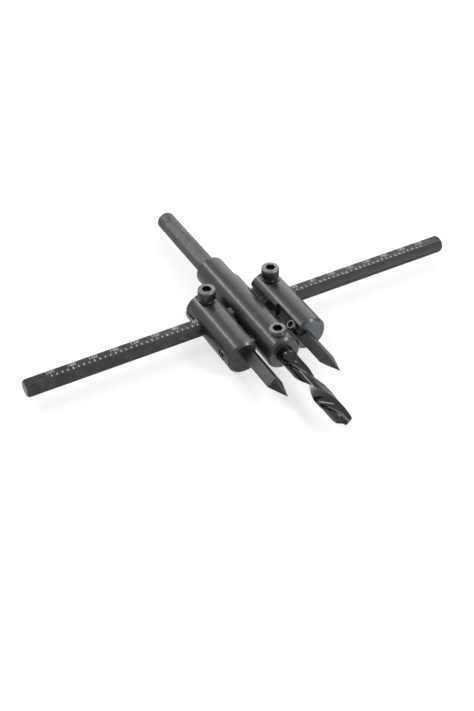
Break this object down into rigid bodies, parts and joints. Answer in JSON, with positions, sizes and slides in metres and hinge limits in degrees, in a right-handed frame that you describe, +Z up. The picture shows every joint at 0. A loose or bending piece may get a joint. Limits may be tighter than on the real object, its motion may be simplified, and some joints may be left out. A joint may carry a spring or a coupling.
{
  "type": "adjustable circle cutter",
  "caption": "Adjustable circle cutter: spear-point cutters in clamped holders slide along a graduated hexagonal bar, with a pilot drill and a shank for a drill chuck.",
  "frame": {"origin": "on the tool's axis, in the middle of the shank's round gripping length", "axes": "+X along the cross bar, +Y along the tool's axis towards the end of the shank, +Z up as the tool lies with the bar's scale on top"},
  "size_m": [0.2164, 0.1676, 0.0224],
  "materials": {
    "body_steel": "satin black oxide",
    "bar_steel": "satin black oxide with white marks",
    "screw_steel": "black oxide",
    "drill_steel": "polished dark bronze black",
    "cutter_steel": "ground dark grey"
  },
  "bodies": {
    "tool_body": {"centre_body": "body_steel", "cross_bar": "bar_steel", "bar_set_screw": "screw_steel"},
    "drill": {"pilot_drill": "drill_steel"},
    "drill_screw": {"pilot_set_screw": "screw_steel"},
    "left_arm": {"left_holder": "body_steel"},
    "left_bit": {"left_cutter": "cutter_steel"},
    "left_clamp_screw_body": {"left_clamp_screw": "screw_steel"},
    "left_cutter_screw_body": {"left_cutter_screw": "screw_steel"},
    "left_side_screw_body": {"left_side_screw": "screw_steel"},
    "right_arm": {"right_holder": "body_steel"},
    "right_bit": {"right_cutter": "cutter_steel"},
    "right_clamp_screw_body": {"right_clamp_screw": "screw_steel"},
    "right_cutter_screw_body": {"right_cutter_screw": "screw_steel"},
    "right_side_screw_body": {"right_side_screw": "screw_steel"}
  },
  "joints": [
    {"name": "pilot_drill_slide", "type": "slide", "parent": "tool_body", "child": "drill", "axis": [0, -1, 0], "range_m": [-0.0013, 0.015]},
    {"name": "pilot_set_screw_turn", "type": "hinge", "parent": "tool_body", "child": "drill_screw", "pos_m": [0, -0.1071, 0.007], "axis": [0, 0, 1], "continuous": true},
    {"name": "left_holder_slide", "type": "slide", "parent": "tool_body", "child": "left_arm", "axis": [-1, 0, 0], "range_m": [0, 0.082]},
    {"name": "left_cutter_slide", "type": "slide", "parent": "left_arm", "child": "left_bit", "axis": [0, -1, 0], "range_m": [-0.0044, 0.006]},
    {"name": "left_clamp_screw_turn", "type": "hinge", "parent": "left_arm", "child": "left_clamp_screw_body", "pos_m": [-0.0166, -0.0723, 0.0092], "axis": [0, 0, 1], "continuous": true},
    {"name": "left_cutter_screw_turn", "type": "hinge", "parent": "left_arm", "child": "left_cutter_screw_body", "pos_m": [-0.01082, -0.1021, 0.00333], "axis": [0.7071, 0, 0.7071], "continuous": true},
    {"name": "left_side_screw_turn", "type": "hinge", "parent": "left_arm", "child": "left_side_screw_body", "pos_m": [-0.021, -0.1011, 0.00015], "axis": [-1, 0, 0], "continuous": true},
    {"name": "right_holder_slide", "type": "slide", "parent": "tool_body", "child": "right_arm", "axis": [1, 0, 0], "range_m": [0, 0.082]},
    {"name": "right_cutter_slide", "type": "slide", "parent": "right_arm", "child": "right_bit", "axis": [0, -1, 0], "range_m": [-0.0013, 0.009]},
    {"name": "right_clamp_screw_turn", "type": "hinge", "parent": "right_arm", "child": "right_clamp_screw_body", "pos_m": [0.0166, -0.0723, 0.0092], "axis": [0, 0, 1], "continuous": true},
    {"name": "right_cutter_screw_turn", "type": "hinge", "parent": "right_arm", "child": "right_cutter_screw_body", "pos_m": [0.01082, -0.1021, 0.00333], "axis": [-0.7071, 0, 0.7071], "continuous": true},
    {"name": "right_side_screw_turn", "type": "hinge", "parent": "right_arm", "child": "right_side_screw_body", "pos_m": [0.021, -0.1011, 0.00015], "axis": [1, 0, 0], "continuous": true}
  ]
}
